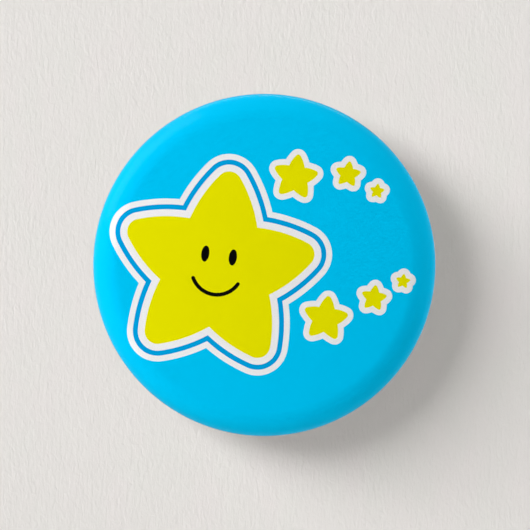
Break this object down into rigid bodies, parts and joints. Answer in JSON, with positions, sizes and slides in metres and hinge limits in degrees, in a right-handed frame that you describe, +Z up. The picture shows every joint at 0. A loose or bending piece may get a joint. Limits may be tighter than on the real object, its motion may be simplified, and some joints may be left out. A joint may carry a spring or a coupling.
{
  "type": "button badge",
  "caption": "Round pressed button badge with a domed film-covered face, rolled rim and a sprung pin with catch hook across its recessed back.",
  "frame": {"origin": "middle of the plane that the back of the rolled rim lies on", "axes": "+Z up as the badge is worn, -Y out of the face towards the viewer, +Y out of the back into the cloth, +X to the right as the face is seen"},
  "size_m": [0.032, 0.0086, 0.032],
  "materials": {
    "polyester_film": "clear, satin gloss",
    "printed_paper": "sky blue ink on coated paper",
    "tinplate": "bright tinplate",
    "plated_steel": "satin zinc plate",
    "pin_wire": "nickel plated spring steel"
  },
  "bodies": {
    "badge": {"clear_film": "polyester_film", "printed_artwork": "printed_paper", "front_shell": "tinplate", "back_plate": "plated_steel", "base_wire": "pin_wire", "coil_spring": "pin_wire"},
    "needle": {"needle_pin": "pin_wire"}
  },
  "joints": [
    {"name": "needle_swing", "type": "hinge", "parent": "badge", "child": "needle", "pos_m": [-0.0096, 0.00055, 0.0024], "axis": [0, 0.5, 0.866], "range_deg": [0, 60], "stiffness_Nm_per_rad": 0.03, "deforming": ["coil_spring"]}
  ]
}
